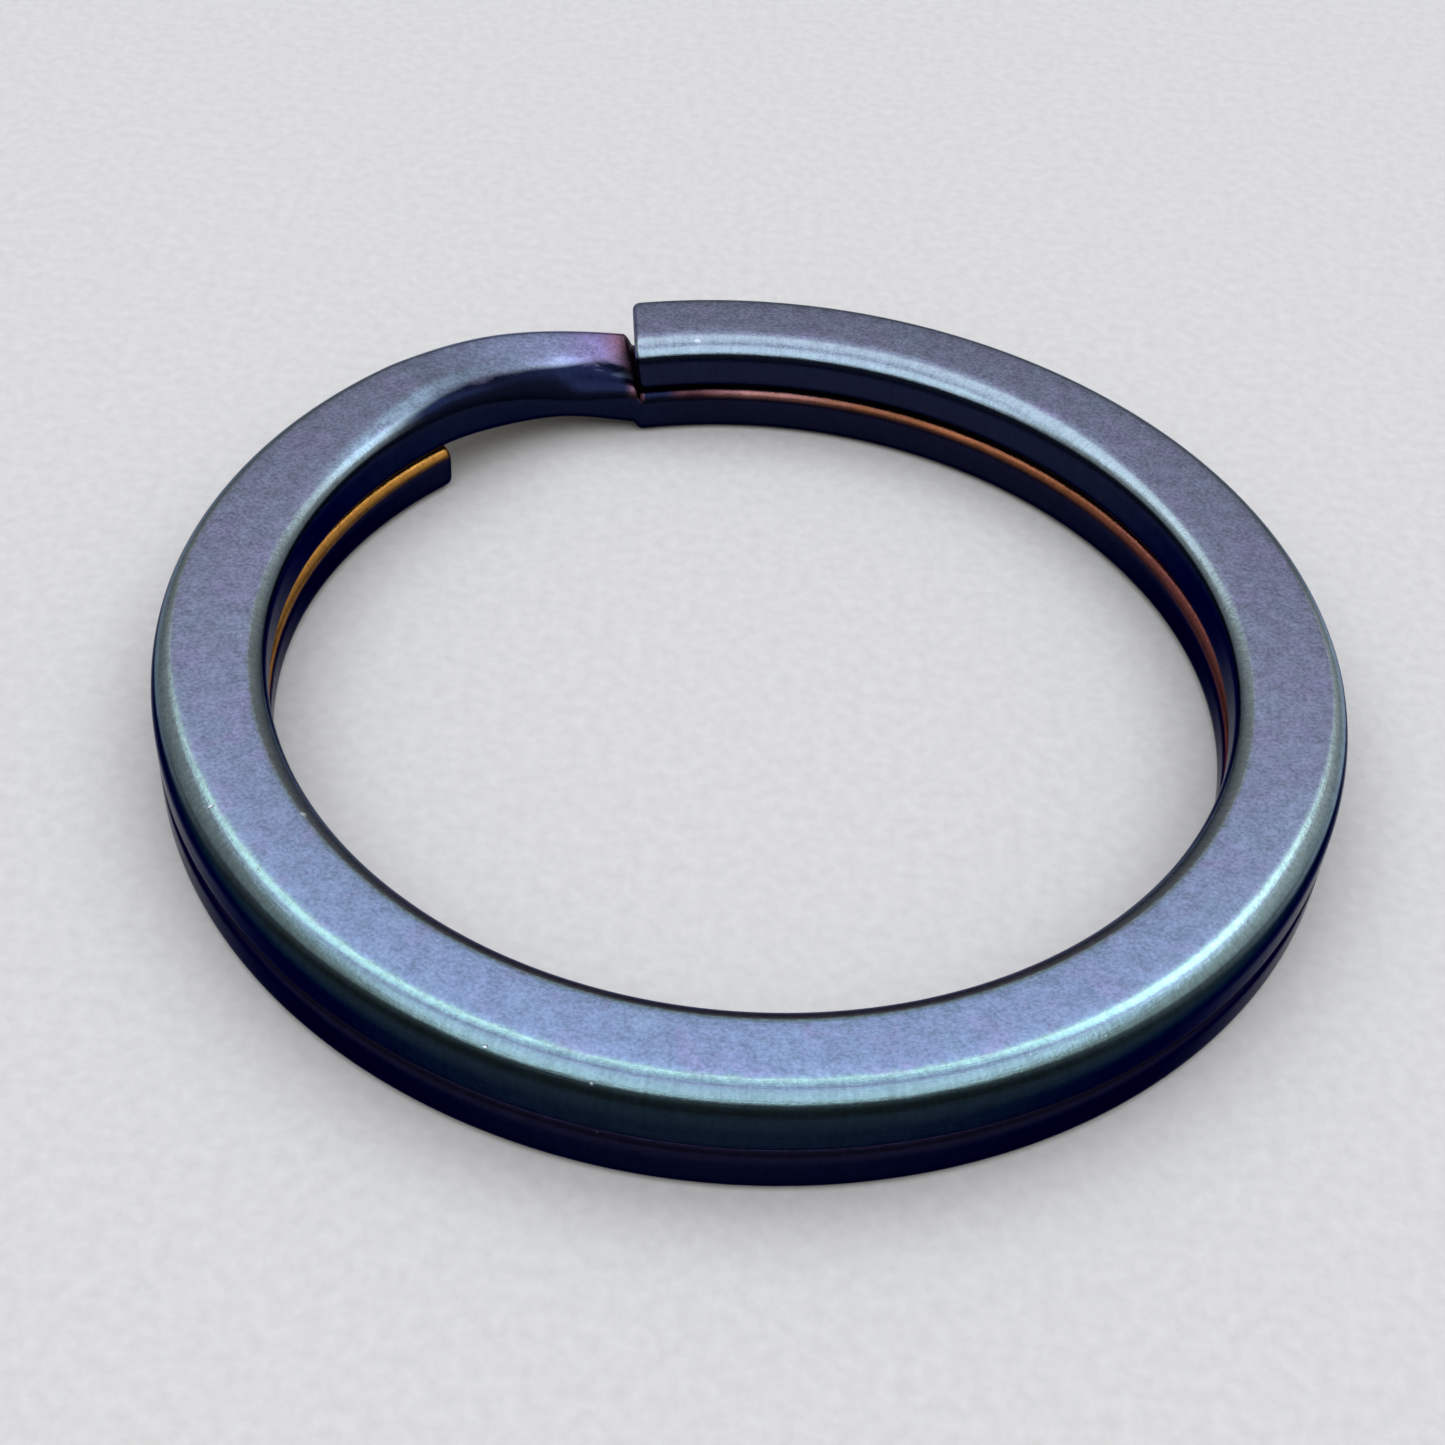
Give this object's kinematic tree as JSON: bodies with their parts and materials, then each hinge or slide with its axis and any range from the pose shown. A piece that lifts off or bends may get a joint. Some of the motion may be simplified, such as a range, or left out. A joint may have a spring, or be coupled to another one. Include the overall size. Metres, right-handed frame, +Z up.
{
  "type": "split key ring",
  "caption": "Flat-section titanium split ring of almost two stacked turns, anodised blue-violet, whose two sprung ends open apart to take a key.",
  "frame": {"origin": "centre of the ring, on the plane of the lower coil's flat underside", "axes": "+Z up through the hole, from the lower coil to the upper coil; +Y towards the side where the upper end and the crossover are, 17 degrees past +Y towards -X"},
  "size_m": [0.032, 0.032, 0.0032],
  "materials": {
    "anodised_titanium": "satin titanium, anodised blue-violet, with bronze to copper-pink colour where the turns face each other"
  },
  "bodies": {
    "ring_body": {"upper_coil": "anodised_titanium", "crossover": "anodised_titanium", "lower_coil": "anodised_titanium"},
    "upper_end": {"upper_end": "anodised_titanium"},
    "lower_end": {"lower_end": "anodised_titanium"}
  },
  "joints": [
    {"name": "upper_end_lift", "type": "hinge", "parent": "ring_body", "child": "upper_end", "pos_m": [0.01401, 0.00375, 0.0032], "axis": [0.9659, 0.2588, 0], "range_deg": [0, 12], "stiffness_Nm_per_rad": 0.84},
    {"name": "lower_end_drop", "type": "hinge", "parent": "ring_body", "child": "lower_end", "pos_m": [-0.00932, -0.01111, 0], "axis": [-0.6428, -0.766, 0], "range_deg": [0, 12], "stiffness_Nm_per_rad": 0.84}
  ]
}
